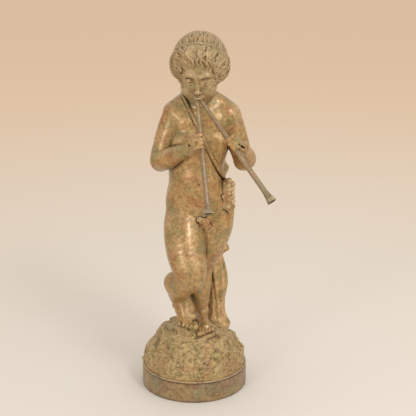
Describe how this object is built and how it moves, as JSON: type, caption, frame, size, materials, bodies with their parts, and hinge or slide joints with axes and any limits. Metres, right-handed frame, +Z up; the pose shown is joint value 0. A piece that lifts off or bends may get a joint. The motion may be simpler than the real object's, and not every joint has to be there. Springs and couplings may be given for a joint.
{
  "type": "garden statue",
  "caption": "Bronze garden statue of a standing child playing a double pipe beside a vine-hung tree stump, on a rocky mound set in a round plinth.",
  "frame": {"origin": "centre of the plinth's flat underside", "axes": "+Z up, the child faces -Y, and its left hand is towards +X"},
  "size_m": [0.3642, 0.3916, 1.0016],
  "materials": {
    "cast_bronze": "cast bronze with a mottled ochre, olive and brown patina, satin and waxed",
    "plinth_bronze": "cast bronze with a darker grey-brown and green patina",
    "pipe_bronze": "cast bronze with a grey-brown patina, worn to pale green at the bells"
  },
  "bodies": {
    "root": {"statue": "cast_bronze", "round_plinth": "plinth_bronze", "pipe_right": "pipe_bronze", "pipe_left": "pipe_bronze"}
  },
  "joints": []
}
